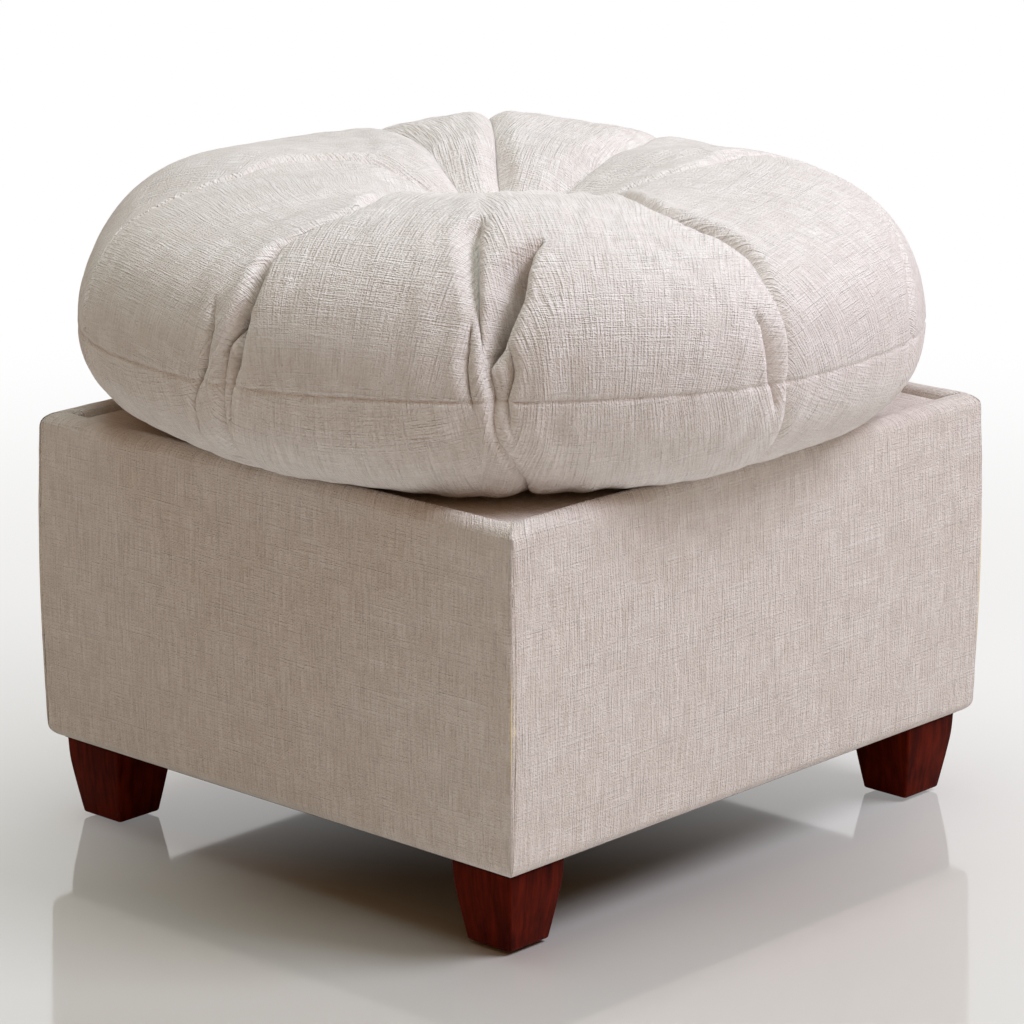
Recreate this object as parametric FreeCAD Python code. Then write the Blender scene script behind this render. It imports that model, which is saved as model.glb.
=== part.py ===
import FreeCAD, Part
import os
from math import asin, cos, pi, radians, sin

"""A box pouf on four tapered feet, with a loose round cushion that is tufted at its middle.

Millimetres, +Z up. The origin is on the floor, under the middle of the box.
"""

Vector = FreeCAD.Vector
ORIGIN = Vector(0, 0, 0)
UP = Vector(0, 0, 1)
QUARTER_TURN = 90
HALF = 0.5
DIAGONAL = sin(pi / 4)

# Upholstered box, over its cover
BASE_WIDTH = 600.0
BASE_DEPTH = 548.0
BASE_HEIGHT = 287.0
RIM_RISE = 6.0
ROLL_RADIUS = 13.0
LOWER_ROUND = 13.0
SIDE_CROWN = 3.0
FABRIC = 1.2
SIDE_PADDING = 7.8
ROLL_PADDING = 13.0
TURN_UNDER = 38.0
OVERRUN = 5.0

# Wooden frame
PANEL = 15.0
DECK_FOAM = 20.0
DECK_BOARD = 12.0
BOARD_PLAY = 0.4
CLEAT_WIDTH = 25.0
CLEAT_HEIGHT = 25.0
BLOCK_LENGTH = 90.0
BLOCK_HEIGHT = 28.0
BLOCK_CUT = 38.0

# Underside
DUST_CLOTH = 0.8
DUST_INSET = 14.0
STAPLE_CROWN = 10.0
STAPLE_LEG = 8.0
STAPLE_WIRE = 1.0
STAPLE_PITCH = 48.0

# Feet and their fixings
FOOT_HEIGHT = 71.0
FOOT_TOP = 64.0
FOOT_TOE = 46.0
FOOT_INSET = 15.0
FOOT_EDGE = 2.5
GLIDE_DIAMETER = 24.0
GLIDE_HEIGHT = 3.0
GLIDE_PIN = 2.6
GLIDE_PIN_LENGTH = 16.0
BOLT = 8.0
BOLT_IN_FOOT = 36.0
BOLT_OVER_NUT = 3.0
NUT_FLANGE = 22.0
NUT_FLANGE_HEIGHT = 1.6
NUT_BARREL = 10.4
NUT_BARREL_LENGTH = 10.0
THREAD_PLAY = 0.1

# Wood screws
SCREW = 4.0
SCREW_HEAD = 8.0
FRAME_SCREW_LENGTH = 45.0
CLEAT_SCREW_LENGTH = 35.0
BLOCK_SCREW_LENGTH = 38.0
SCREW_ROWS = 3
SCREW_MARGIN = 45.0
CLEAT_SCREW_PITCH = 130.0
BLOCK_SCREW_MARGIN = 15.0

# Loose round cushion
CUSHION_RADIUS = 361.0
SEAM_HEIGHT = 92.0
CROWN_HEIGHT = 114.0
CROWN_LEAN = 24.0
LOFT_DEGREE = 3
PIT_DEPTH = 56.0
CUSHION_PLAY = 0.3
DIMPLE_DEPTH = 13.0
DIMPLE_RADIUS = 46.0
BUTTON_DIAMETER = 30.0
BUTTON_EDGE = 4.0
BUTTON_DOME = 5.0
TWINE = 3.0

# Levels above the floor
COVER_Z = FOOT_HEIGHT + DUST_CLOTH
FRAME_Z = COVER_Z + FABRIC
CREST_Z = FOOT_HEIGHT + BASE_HEIGHT
DECK_Z = CREST_Z - RIM_RISE
FOAM_TOP_Z = DECK_Z - FABRIC
BOARD_TOP_Z = FOAM_TOP_Z - DECK_FOAM
CLEAT_TOP_Z = BOARD_TOP_Z - DECK_BOARD
PANEL_TOP_Z = CREST_Z - ROLL_PADDING
BLOCK_TOP_Z = FRAME_Z + BLOCK_HEIGHT
CUSHION_Z = DECK_Z + CUSHION_PLAY
SEAM_Z = DECK_Z + SEAM_HEIGHT
CROWN_Z = SEAM_Z + CROWN_HEIGHT
PIT_Z = CROWN_Z - PIT_DEPTH

# Distances inward from the outer face of a side
PANEL_FACE = FABRIC + SIDE_PADDING
CREASE = PANEL_FACE + PANEL
ROUND_CENTRE = SIDE_CROWN + LOWER_ROUND
ROLL_CENTRE = SIDE_CROWN + ROLL_RADIUS
PANEL_BEVEL = ROUND_CENTRE - PANEL_FACE
STAPLE_LINE = (ROUND_CENTRE + CREASE) / 2

# Sides in the order that quarter turns bring them round
SIDES = ("front", "right", "back", "left")
CORNERS = {
    "front_left": (-1, -1),
    "front_right": (1, -1),
    "back_right": (1, 1),
    "back_left": (-1, 1),
}

# Fold directions of the cushion, in degrees from +X
FOLD_ANGLES = (-176, -137, -97, -52, 3, 46, 71, 138)
# Direction in which the crest rises; it lies lower by the lean on the other side
HIGH_SIDE = 43

# Cushion outline as (share of the radius, share of the height, share by which a fold is drawn in)
UNDER_SHARES = (
    (0.690, 0.000, 0.010),
    (0.765, 0.045, 0.012),
    (0.840, 0.120, 0.014),
    (0.905, 0.260, 0.018),
    (0.957, 0.470, 0.022),
    (0.991, 0.740, 0.024),
    (1.000, 1.000, 0.024),
)
UPPER_SHARES = (
    (0.997, 0.210, 0.030),
    (0.975, 0.445, 0.044),
    (0.915, 0.670, 0.064),
    (0.804, 0.850, 0.084),
    (0.655, 0.955, 0.100),
    (0.505, 1.000, 0.105),
)
# The pit widens at each fold, so its share there is an outward one
PIT_SHARES = (
    (0.045, 0.000, 0.10),
    (0.090, 0.220, 0.14),
    (0.150, 0.520, 0.18),
    (0.220, 0.780, 0.20),
    (0.290, 0.940, 0.19),
    (0.365, 1.000, 0.17),
    (0.440, 1.040, 0.12),
)
# Width of the foot between its toe, 0, and its top, 1, at shares of its height
FOOT_HEIGHT_SHARES = (0.0, 0.25, 0.5, 0.75, 1.0)
FOOT_WIDTH_SHARES = (0.0, 0.33, 0.64, 0.92, 1.0)


def box(low, high):
    """Box between two opposite corners."""
    size = Vector(*high) - Vector(*low)
    return Part.makeBox(size.x, size.y, size.z, Vector(*low))


def turned(shape, turns):
    """Copy of a shape, turned about the middle of the pouf by quarter turns."""
    copy = shape.copy()
    copy.rotate(ORIGIN, UP, turns * QUARTER_TURN)
    return copy


def arc(start, middle, end):
    """Arc edge through three points."""
    return Part.Arc(start, middle, end).toShape()


def revolved(edges):
    """Solid turned about the Z axis from a half outline in the XZ plane."""
    return Part.Face(Part.Wire(edges)).revolve(ORIGIN, UP, 4 * QUARTER_TURN)


def drilled(solid, tools):
    """Solid with all the tools taken out of it."""
    return solid.cut(Part.makeCompound(tools)) if tools else solid


def cylinder(diameter, height, centre, low, play=0.0):
    """Upright cylinder at a plan position, with an optional play all round."""
    return Part.makeCylinder(diameter / 2 + play, height, Vector(centre.x, centre.y, low))


class Side:
    """Section of one padded side, drawn for the front and turned to its place."""

    def __init__(self, name):
        self.turns = SIDES.index(name)
        self.length, self.across = BASE_WIDTH, BASE_DEPTH
        if self.turns % 2:
            self.length, self.across = BASE_DEPTH, BASE_WIDTH
        self.face = -self.across / 2

    def point(self, inward, height):
        return Vector(0, self.face + inward, height)

    def skin(self, inset):
        """Edges from the lower rounding, over the crowned face and the rolled rim, to the crease."""
        lower = LOWER_ROUND - inset
        roll = ROLL_RADIUS - inset
        low_z = COVER_Z + LOWER_ROUND
        roll_z = CREST_Z - ROLL_RADIUS
        crease_inward = CREASE - ROLL_CENTRE
        start = self.point(ROUND_CENTRE, COVER_Z + inset)
        low_end = self.point(SIDE_CROWN + inset, low_z)
        roll_start = self.point(SIDE_CROWN + inset, roll_z)
        crest = self.point(ROLL_CENTRE, CREST_Z - inset)
        crease = self.point(CREASE, DECK_Z - inset)
        low_middle = self.point(ROUND_CENTRE - lower * DIAGONAL, low_z - lower * DIAGONAL)
        roll_middle = self.point(ROLL_CENTRE - roll * DIAGONAL, roll_z + roll * DIAGONAL)
        fall_middle = self.point(
            ROLL_CENTRE + crease_inward * DIAGONAL, CREST_Z - inset - RIM_RISE * (1 - DIAGONAL)
        )
        edges = [
            arc(start, low_middle, low_end),
            arc(low_end, self.point(inset, (low_z + roll_z) / 2), roll_start),
            arc(roll_start, roll_middle, crest),
            arc(crest, fall_middle, crease),
        ]
        return edges, start, crease

    def mitred(self, wire):
        """Section drawn out along the side and cut at 45 degrees at both corners."""
        bar = Part.Face(wire).extrude(Vector(self.length + 2 * OVERRUN, 0, 0))
        bar.translate(Vector(-self.length / 2 - OVERRUN, 0, 0))
        reach = TURN_UNDER + OVERRUN
        outer, inner = self.length / 2 + OVERRUN, self.length / 2 - reach
        plan = Part.makePolygon([
            Vector(-outer, self.face - OVERRUN, 0),
            Vector(outer, self.face - OVERRUN, 0),
            Vector(inner, self.face + reach, 0),
            Vector(-inner, self.face + reach, 0),
            Vector(-outer, self.face - OVERRUN, 0),
        ])
        prism = Part.Face(plan).extrude(Vector(0, 0, CREST_Z + OVERRUN))
        return turned(bar.common(prism), self.turns)

    def cover(self):
        """Fabric of the side, from the crease down to where it is turned under the frame."""
        outer, outer_start, outer_crease = self.skin(0)
        inner, inner_start, inner_crease = self.skin(FABRIC)
        tuck_low = self.point(TURN_UNDER, COVER_Z)
        tuck_high = self.point(TURN_UNDER, FRAME_Z)
        edges = outer + [Part.makeLine(outer_crease, inner_crease)] + inner[::-1]
        edges += [
            Part.makeLine(inner_start, tuck_high),
            Part.makeLine(tuck_high, tuck_low),
            Part.makeLine(tuck_low, outer_start),
        ]
        return self.mitred(Part.Wire(Part.__sortEdges__(edges)))

    def padding(self):
        """Padding between the cover and the panel, rolled over the top of the panel."""
        edges, start, crease = self.skin(FABRIC)
        corners = [
            crease,
            self.point(CREASE, PANEL_TOP_Z),
            self.point(PANEL_FACE, PANEL_TOP_Z),
            self.point(PANEL_FACE, FRAME_Z + PANEL_BEVEL),
            start,
        ]
        edges += [Part.makeLine(a, b) for a, b in zip(corners, corners[1:])]
        return self.mitred(Part.Wire(Part.__sortEdges__(edges)))

    def rim_clearance(self, inset):
        """Bar round the rolled rim, which the cushion keeps off."""
        edges, start, crease = self.skin(inset)
        foot = self.point(CREASE, start.z)
        edges += [Part.makeLine(crease, foot), Part.makeLine(foot, start)]
        return self.mitred(Part.Wire(Part.__sortEdges__(edges)))


def frame_envelope():
    """Outer block of the wooden frame, bevelled along its lower edges."""
    half_x, half_y = BASE_WIDTH / 2 - PANEL_FACE, BASE_DEPTH / 2 - PANEL_FACE
    block = box((-half_x, -half_y, FRAME_Z), (half_x, half_y, PANEL_TOP_Z))
    middle_z = (FRAME_Z + PANEL_TOP_Z) / 2
    lower = [e for e in block.Edges if max(v.Z for v in e.Vertexes) < middle_z]
    return block.makeChamfer(PANEL_BEVEL, lower)


def frame_panels():
    """Four panels: front and back run the full width, left and right stand between them."""
    envelope = frame_envelope()
    half_x, half_y = BASE_WIDTH / 2, BASE_DEPTH / 2
    inner_x, inner_y = half_x - CREASE, half_y - CREASE
    return {
        "frame_panel_front": envelope.common(box((-half_x, -half_y, 0), (half_x, -inner_y, CREST_Z))),
        "frame_panel_back": envelope.common(box((-half_x, inner_y, 0), (half_x, half_y, CREST_Z))),
        "frame_panel_left": envelope.common(box((-half_x, -inner_y, 0), (-inner_x, inner_y, CREST_Z))),
        "frame_panel_right": envelope.common(box((inner_x, -inner_y, 0), (half_x, inner_y, CREST_Z))),
    }


def deck_parts():
    """Board, foam and cloth that close the top of the box inside its rim."""
    inner_x, inner_y = BASE_WIDTH / 2 - CREASE, BASE_DEPTH / 2 - CREASE
    board_x, board_y = inner_x - BOARD_PLAY, inner_y - BOARD_PLAY
    return {
        "deck_board": box((-board_x, -board_y, CLEAT_TOP_Z), (board_x, board_y, BOARD_TOP_Z)),
        "deck_pad": box((-inner_x, -inner_y, BOARD_TOP_Z), (inner_x, inner_y, FOAM_TOP_Z)),
        "deck_cover": box((-inner_x, -inner_y, FOAM_TOP_Z), (inner_x, inner_y, DECK_Z)),
    }


def deck_cleats():
    """Strips along the inside of the panels, which carry the deck board."""
    inner_x, inner_y = BASE_WIDTH / 2 - CREASE, BASE_DEPTH / 2 - CREASE
    low, high = CLEAT_TOP_Z - CLEAT_HEIGHT, CLEAT_TOP_Z
    short_y = inner_y - CLEAT_WIDTH
    return {
        "deck_cleat_front": box((-inner_x, -inner_y, low), (inner_x, -short_y, high)),
        "deck_cleat_back": box((-inner_x, short_y, low), (inner_x, inner_y, high)),
        "deck_cleat_left": box((-inner_x, -short_y, low), (CLEAT_WIDTH - inner_x, short_y, high)),
        "deck_cleat_right": box((inner_x - CLEAT_WIDTH, -short_y, low), (inner_x, short_y, high)),
    }


def foot_centre(corner):
    """Plan position of the foot at a corner."""
    sign_x, sign_y = CORNERS[corner]
    inward = FOOT_INSET + FOOT_TOP / 2
    return Vector(sign_x * (BASE_WIDTH / 2 - inward), sign_y * (BASE_DEPTH / 2 - inward), 0)


def corner_block(corner):
    """Hardwood block glued into a lower corner of the frame, cut off across its inner corner."""
    sign_x, sign_y = CORNERS[corner]
    outer_x, outer_y = BASE_WIDTH / 2 - CREASE, BASE_DEPTH / 2 - CREASE
    inner_x, inner_y = outer_x - BLOCK_LENGTH, outer_y - BLOCK_LENGTH
    plan = [
        (outer_x, outer_y),
        (outer_x, inner_y),
        (inner_x + BLOCK_CUT, inner_y),
        (inner_x, inner_y + BLOCK_CUT),
        (inner_x, outer_y),
        (outer_x, outer_y),
    ]
    outline = Part.makePolygon([Vector(sign_x * x, sign_y * y, FRAME_Z) for x, y in plan])
    return Part.Face(outline).extrude(Vector(0, 0, BLOCK_HEIGHT))


def rounded_square(side, height):
    """Square wire with rounded corners, centred on the Z axis."""
    half, flat = side / 2, side / 2 - FOOT_EDGE
    bulge = flat + FOOT_EDGE * DIAGONAL
    edges = []
    for turns in range(4):
        line = Part.makeLine(Vector(-flat, -half, height), Vector(flat, -half, height))
        corner = arc(
            Vector(flat, -half, height), Vector(bulge, -bulge, height), Vector(half, -flat, height)
        )
        edges += [turned(line, turns), turned(corner, turns)]
    return Part.Wire(edges)


def foot(corner):
    """Solid wood foot that tapers in a gentle curve, bored for its bolt and its glide."""
    centre = foot_centre(corner)
    wood_height = FOOT_HEIGHT - GLIDE_HEIGHT
    wires = []
    for height_share, width_share in zip(FOOT_HEIGHT_SHARES, FOOT_WIDTH_SHARES):
        side = FOOT_TOE + (FOOT_TOP - FOOT_TOE) * width_share
        wires.append(rounded_square(side, GLIDE_HEIGHT + wood_height * height_share))
    solid = Part.makeLoft(wires, True, False)
    solid.translate(centre)
    return drilled(solid, [hanger_bolt(corner), foot_glide(corner)])


def foot_glide(corner):
    """Nylon glide with its nail, driven into the underside of a foot."""
    centre = foot_centre(corner)
    disc = cylinder(GLIDE_DIAMETER, GLIDE_HEIGHT, centre, 0)
    return disc.fuse(cylinder(GLIDE_PIN, GLIDE_PIN_LENGTH, centre, GLIDE_HEIGHT))


def hanger_bolt(corner, play=0.0):
    """Headless bolt from the foot up through the block into the nut."""
    low = FOOT_HEIGHT - BOLT_IN_FOOT
    high = BLOCK_TOP_Z + NUT_FLANGE_HEIGHT + BOLT_OVER_NUT
    return cylinder(BOLT, high - low, foot_centre(corner), low, play)


def tee_nut(corner):
    """Flanged nut pressed into the top of a corner block."""
    centre = foot_centre(corner)
    flange = cylinder(NUT_FLANGE, NUT_FLANGE_HEIGHT, centre, BLOCK_TOP_Z)
    barrel = cylinder(NUT_BARREL, NUT_BARREL_LENGTH, centre, BLOCK_TOP_Z - NUT_BARREL_LENGTH)
    return flange.fuse(barrel).cut(hanger_bolt(corner, THREAD_PLAY))


def wood_screw(length, head, direction):
    """Countersunk screw whose head is flush at a point and whose shank runs along a direction."""
    cone = Part.makeCone(SCREW_HEAD / 2, SCREW / 2, SCREW_HEAD / 2, head, direction)
    return cone.fuse(Part.makeCylinder(SCREW / 2, length, head, direction))


def spread(count, span):
    """Evenly spaced places about zero that fill a span."""
    return [span * (index / (count - 1) - HALF) for index in range(count)]


def frame_screws():
    """Screws through the front and back panels into the ends of the left and right ones."""
    x = BASE_WIDTH / 2 - CREASE + PANEL / 2
    y = BASE_DEPTH / 2 - PANEL_FACE
    middle_z = (FRAME_Z + PANEL_TOP_Z) / 2
    heights = [middle_z + s for s in spread(SCREW_ROWS, PANEL_TOP_Z - FRAME_Z - 2 * SCREW_MARGIN)]
    return [
        wood_screw(FRAME_SCREW_LENGTH, Vector(sign_x * x, sign_y * y, height), Vector(0, -sign_y, 0))
        for sign_x, sign_y in CORNERS.values()
        for height in heights
    ]


def cleat_screws():
    """Screws through each cleat into its panel."""
    z = CLEAT_TOP_Z - CLEAT_HEIGHT / 2
    screws = []
    for side in map(Side, SIDES):
        run = side.length - 2 * CREASE - 2 * CLEAT_WIDTH
        count = max(2, int(run / CLEAT_SCREW_PITCH) + 1)
        head_y = side.face + CREASE + CLEAT_WIDTH
        for x in spread(count, run - CLEAT_SCREW_PITCH / 2):
            screw = wood_screw(CLEAT_SCREW_LENGTH, Vector(x, head_y, z), Vector(0, -1, 0))
            screws.append(turned(screw, side.turns))
    return screws


def block_screws():
    """Two screws into each corner block, one through either panel."""
    screws = []
    z = FRAME_Z + BLOCK_HEIGHT / 2
    inward = CREASE + BLOCK_LENGTH - BLOCK_SCREW_MARGIN
    for sign_x, sign_y in CORNERS.values():
        half_x, half_y = sign_x * BASE_WIDTH / 2, sign_y * BASE_DEPTH / 2
        in_front = Vector(half_x - sign_x * inward, half_y - sign_y * PANEL_FACE, z)
        at_side = Vector(half_x - sign_x * PANEL_FACE, half_y - sign_y * inward, z)
        screws.append(wood_screw(BLOCK_SCREW_LENGTH, in_front, Vector(0, -sign_y, 0)))
        screws.append(wood_screw(BLOCK_SCREW_LENGTH, at_side, Vector(-sign_x, 0, 0)))
    return screws


def staple():
    """One staple under the dust cloth: its crown across, its two legs upward."""
    half, wire = STAPLE_CROWN / 2, STAPLE_WIRE
    low, crown, top = FOOT_HEIGHT - wire, FOOT_HEIGHT, FOOT_HEIGHT + STAPLE_LEG
    outline = [
        (-half, low), (half, low), (half, top), (half - wire, top),
        (half - wire, crown), (wire - half, crown), (wire - half, top), (-half, top), (-half, low),
    ]
    face = Part.Face(Part.makePolygon([Vector(x, -wire / 2, z) for x, z in outline]))
    return face.extrude(Vector(0, wire, 0))


def dust_cover_staples():
    """Rows of staples along the four sides, between the feet."""
    staples = []
    for side in map(Side, SIDES):
        run = side.length - 2 * (FOOT_INSET + FOOT_TOP) - 2 * STAPLE_CROWN
        count = max(2, int(run / STAPLE_PITCH) + 1)
        for x in spread(count, run):
            one = staple()
            one.translate(Vector(x, side.face + STAPLE_LINE, 0))
            staples.append(turned(one, side.turns))
    return staples


def dust_cover():
    """Black cloth that closes the underside."""
    half_x, half_y = BASE_WIDTH / 2 - DUST_INSET, BASE_DEPTH / 2 - DUST_INSET
    return box((-half_x, -half_y, FOOT_HEIGHT), (half_x, half_y, COVER_Z))


def leaning(radius, degrees, height, share):
    """Point about the middle of the cushion, raised toward the high side by that share of the lean."""
    rise = share * CROWN_LEAN / 2 / (CUSHION_RADIUS * UPPER_SHARES[-1][0])
    lift = rise * radius * cos(radians(degrees - HIGH_SIDE))
    return Vector(radius * cos(radians(degrees)), radius * sin(radians(degrees)), height + lift)


def lobed_wire(lobe_radius, fold_radius, height, share):
    """Closed wire of one arc for each lobe, from fold to fold, on a plane that may lean."""
    edges = []
    ends = FOLD_ANGLES[1:] + (FOLD_ANGLES[0] + 4 * QUARTER_TURN,)
    for start, end in zip(FOLD_ANGLES, ends):
        edges.append(arc(
            leaning(fold_radius, start, height, share),
            leaning(lobe_radius, (start + end) / 2, height, share),
            leaning(fold_radius, end, height, share),
        ))
    return Part.Wire(edges)


def moved_in(points, inset):
    """Outline of (radius, height) points moved square to itself, to its left; its ends lie level."""
    moved = []
    last = len(points) - 1
    for index, (radius, height) in enumerate(points):
        before, after = points[max(index - 1, 0)], points[min(index + 1, last)]
        run = after[0] - before[0]
        rise = 0 if index in (0, last) else after[1] - before[1]
        length = (run * run + rise * rise) ** HALF
        moved.append((radius - rise / length * inset, height + run / length * inset))
    return moved


def cushion_outline():
    """Points (radius, height, fold share, lean share) from the underside to the crown."""
    seam_height, crown_height = SEAM_Z - CUSHION_Z, CROWN_Z - SEAM_Z
    under = [(CUSHION_RADIUS * r, CUSHION_Z + seam_height * h, f, 0) for r, h, f in UNDER_SHARES]
    upper = [(CUSHION_RADIUS * r, SEAM_Z + crown_height * h, f, h) for r, h, f in UPPER_SHARES]
    return under + upper


def cushion_body(inset):
    """Lobed body of the cushion, solid through its middle."""
    outline = cushion_outline()
    moved = moved_in([(r, z) for r, z, fold, lean in outline], inset)
    wires = [
        lobed_wire(radius, radius * (1 - fold), height, lean)
        for (radius, height), (r, z, fold, lean) in zip(moved, outline)
    ]
    return Part.makeLoft(wires, True, False, False, LOFT_DEGREE)


def pit_tool(inset):
    """Space over the tufted middle, which the folds run down into."""
    outline = [
        (CUSHION_RADIUS * r, PIT_Z + (CROWN_Z - PIT_Z) * h, f, h) for r, h, f in PIT_SHARES
    ]
    moved = moved_in([(r, z) for r, z, fold, lean in outline], -inset)
    wires = [
        lobed_wire(radius, radius * (1 + fold), height, lean)
        for (radius, height), (r, z, fold, lean) in zip(moved, outline)
    ]
    return [Part.makeLoft(wires, True, False, False, LOFT_DEGREE)]


def dimple_tool(inset):
    """Shallow hollow that the lower button draws into the underside."""
    low, high = CUSHION_Z - OVERRUN, CUSHION_Z + DIMPLE_DEPTH + inset
    floor = BUTTON_DIAMETER / 2 + BUTTON_EDGE / 2 + inset
    slope = (DIMPLE_RADIUS - BUTTON_DIAMETER / 2) / DIMPLE_DEPTH
    mouth = floor + slope * (high - low)
    return [Part.makeCone(mouth, floor, high - low, Vector(0, 0, low))]


def twine():
    """Waxed twine that ties the two buttons together through the filling."""
    low = CUSHION_Z + DIMPLE_DEPTH - CUSHION_PLAY
    return cylinder(TWINE, PIT_Z + CUSHION_PLAY - low, ORIGIN, low)


def cushion_space(inset):
    """Cushion shape, moved in from its outside and seated over the rim of the box."""
    rim = [Side(name).rim_clearance(-CUSHION_PLAY - inset) for name in SIDES]
    return drilled(cushion_body(inset), pit_tool(inset) + dimple_tool(inset) + rim)


def cushion_parts():
    """Upper and lower fabric panels, which meet at the seam, and the filling inside them."""
    filling = cushion_space(FABRIC)
    skin = cushion_space(0).cut(filling).cut(twine())
    reach = CUSHION_RADIUS + OVERRUN
    lower = box((-reach, -reach, 0), (reach, reach, SEAM_Z))
    return {
        "cushion_top_panel": skin.cut(lower),
        "cushion_bottom_panel": skin.common(lower),
        "cushion_fill": filling.cut(twine()),
    }


def button(flat_z, up):
    """Fabric-covered button: a short cylinder with a domed face, upward or downward."""
    radius = BUTTON_DIAMETER / 2
    side, peak = flat_z + up * BUTTON_EDGE, flat_z + up * (BUTTON_EDGE + BUTTON_DOME)
    sphere = (radius * radius + BUTTON_DOME * BUTTON_DOME) / (2 * BUTTON_DOME)
    slant = asin(radius / sphere) / 2
    middle = Vector(sphere * sin(slant), 0, peak - up * sphere * (1 - cos(slant)))
    return revolved([
        Part.makeLine(Vector(0, 0, flat_z), Vector(radius, 0, flat_z)),
        Part.makeLine(Vector(radius, 0, flat_z), Vector(radius, 0, side)),
        arc(Vector(radius, 0, side), middle, Vector(0, 0, peak)),
        Part.makeLine(Vector(0, 0, peak), Vector(0, 0, flat_z)),
    ])


def buttons():
    return {
        "top_button": button(PIT_Z + CUSHION_PLAY, 1),
        "bottom_button": button(CUSHION_Z + DIMPLE_DEPTH - CUSHION_PLAY, -1),
    }


def build():
    """Every piece of the pouf by name."""
    pieces = {}
    staples = dust_cover_staples()
    frame_fixings, cleat_fixings, block_fixings = frame_screws(), cleat_screws(), block_screws()
    fixings = staples + frame_fixings + cleat_fixings + block_fixings
    for name, panel in frame_panels().items():
        pieces[name] = drilled(panel, fixings)
    for name, cleat in deck_cleats().items():
        pieces[name] = drilled(cleat, cleat_fixings)
    pieces.update(deck_parts())
    for name in SIDES:
        pieces["side_pad_" + name] = Side(name).padding()
        pieces["side_cover_" + name] = drilled(Side(name).cover(), staples)
    bolts = [hanger_bolt(corner) for corner in CORNERS]
    pieces["dust_cover"] = drilled(dust_cover(), staples + bolts)
    pieces["dust_cover_staples"] = Part.makeCompound(staples)
    for corner in CORNERS:
        bored = corner_block(corner).cut(hanger_bolt(corner))
        pieces["corner_block_" + corner] = drilled(bored, [tee_nut(corner)] + block_fixings)
        pieces["tee_nut_" + corner] = tee_nut(corner)
        pieces["hanger_bolt_" + corner] = hanger_bolt(corner)
        pieces["foot_" + corner] = foot(corner)
        pieces["foot_glide_" + corner] = foot_glide(corner)
    pieces["frame_screws"] = Part.makeCompound(frame_fixings)
    pieces["cleat_screws"] = Part.makeCompound(cleat_fixings)
    pieces["block_screws"] = Part.makeCompound(block_fixings)
    pieces.update(cushion_parts())
    pieces.update(buttons())
    pieces["tufting_twine"] = twine()
    return pieces


os.makedirs("parts", exist_ok=True)
for name, shape in build().items():
    shape.exportStep("parts/" + name + ".step")
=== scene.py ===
"""Box pouf with a loose tufted cushion: the looks of every piece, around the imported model."""
from collections import namedtuple
from math import cos, degrees, exp, hypot, pi, radians, sin

import bmesh
import bpy
import numpy as np
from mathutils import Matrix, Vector, noise


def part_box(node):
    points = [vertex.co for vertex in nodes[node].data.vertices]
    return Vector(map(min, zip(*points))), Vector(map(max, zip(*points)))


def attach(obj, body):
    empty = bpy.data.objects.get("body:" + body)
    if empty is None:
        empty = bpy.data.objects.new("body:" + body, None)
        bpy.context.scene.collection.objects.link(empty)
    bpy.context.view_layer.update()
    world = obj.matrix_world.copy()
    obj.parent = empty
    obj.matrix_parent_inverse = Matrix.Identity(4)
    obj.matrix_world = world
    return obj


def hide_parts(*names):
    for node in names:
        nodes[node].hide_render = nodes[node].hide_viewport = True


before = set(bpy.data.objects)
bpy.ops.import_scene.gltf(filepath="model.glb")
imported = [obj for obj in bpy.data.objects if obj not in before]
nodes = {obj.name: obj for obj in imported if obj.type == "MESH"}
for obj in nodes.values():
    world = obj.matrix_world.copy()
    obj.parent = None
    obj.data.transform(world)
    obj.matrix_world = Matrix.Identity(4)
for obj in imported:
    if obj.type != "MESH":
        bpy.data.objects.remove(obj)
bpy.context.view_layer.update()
scene = bpy.context.scene
MM = 0.001

# Camera: a long lens a little above the cushion, looking at the near corner of the box.
# Its direction is a turn to the left from straight ahead of the front, and a rise above level.
VIEW_SIDE = radians(-47.26)
VIEW_RISE = radians(15.48)
VIEW_PLACE = (-2.74663, -2.53540, 1.29673)
LENS = 159.72
SENSOR_WIDTH = 36

view_back = Vector((
    sin(VIEW_SIDE) * cos(VIEW_RISE), -cos(VIEW_SIDE) * cos(VIEW_RISE), sin(VIEW_RISE),
))
camera = bpy.data.objects.new("camera", bpy.data.cameras.new("camera"))
camera.data.lens = LENS
camera.data.sensor_width = SENSOR_WIDTH
camera.location = VIEW_PLACE
camera.rotation_mode = "QUATERNION"
camera.rotation_quaternion = (-view_back).to_track_quat("-Z", "Y")
scene.collection.objects.link(camera)
scene.camera = camera
scene.view_settings.view_transform = "Standard"


# Floor and light: a pale polished floor that fades to white, a large soft lamp from the right
# of the front with a second one above, and a dim warm world. The two classes here write
# materials as formulas, for all the sections below.
FLOOR_RADIUS = 7.0
FLOOR_TONE = (0.71, 0.695, 0.655, 1)
FLOOR_SHINE = 0.28
FLOOR_ROUGHNESS = 0.07
# The fade has two steps, each between two distances from a point nearer to the camera.
FADE_SHIFT = (0.35, 0.3, 0)
FIRST_FADE = (0.25, 1.05)
SECOND_FADE = (1.0, 2.3)
FIRST_FADE_SHARE = 0.6
LAMP_AIM = Vector((-0.0012, 0.0012, 0.2604))
WORLD_LIGHT = 0.225
WORLD_TONE = (1.0, 0.57, 0.27, 1)
# Number of the output of the texture coordinate node that gives places on the object.
OBJECT_OUTPUT = 3


def operator(operation, swapped=False):
    """Method of a flow that makes a node of it and of what stands on the other side of the sign."""

    def method(self, other):
        first, second = (other, self) if swapped else (self, other)
        return self.finish.node("Math", {"operation": operation}, {0: first, 1: second})

    return method


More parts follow.
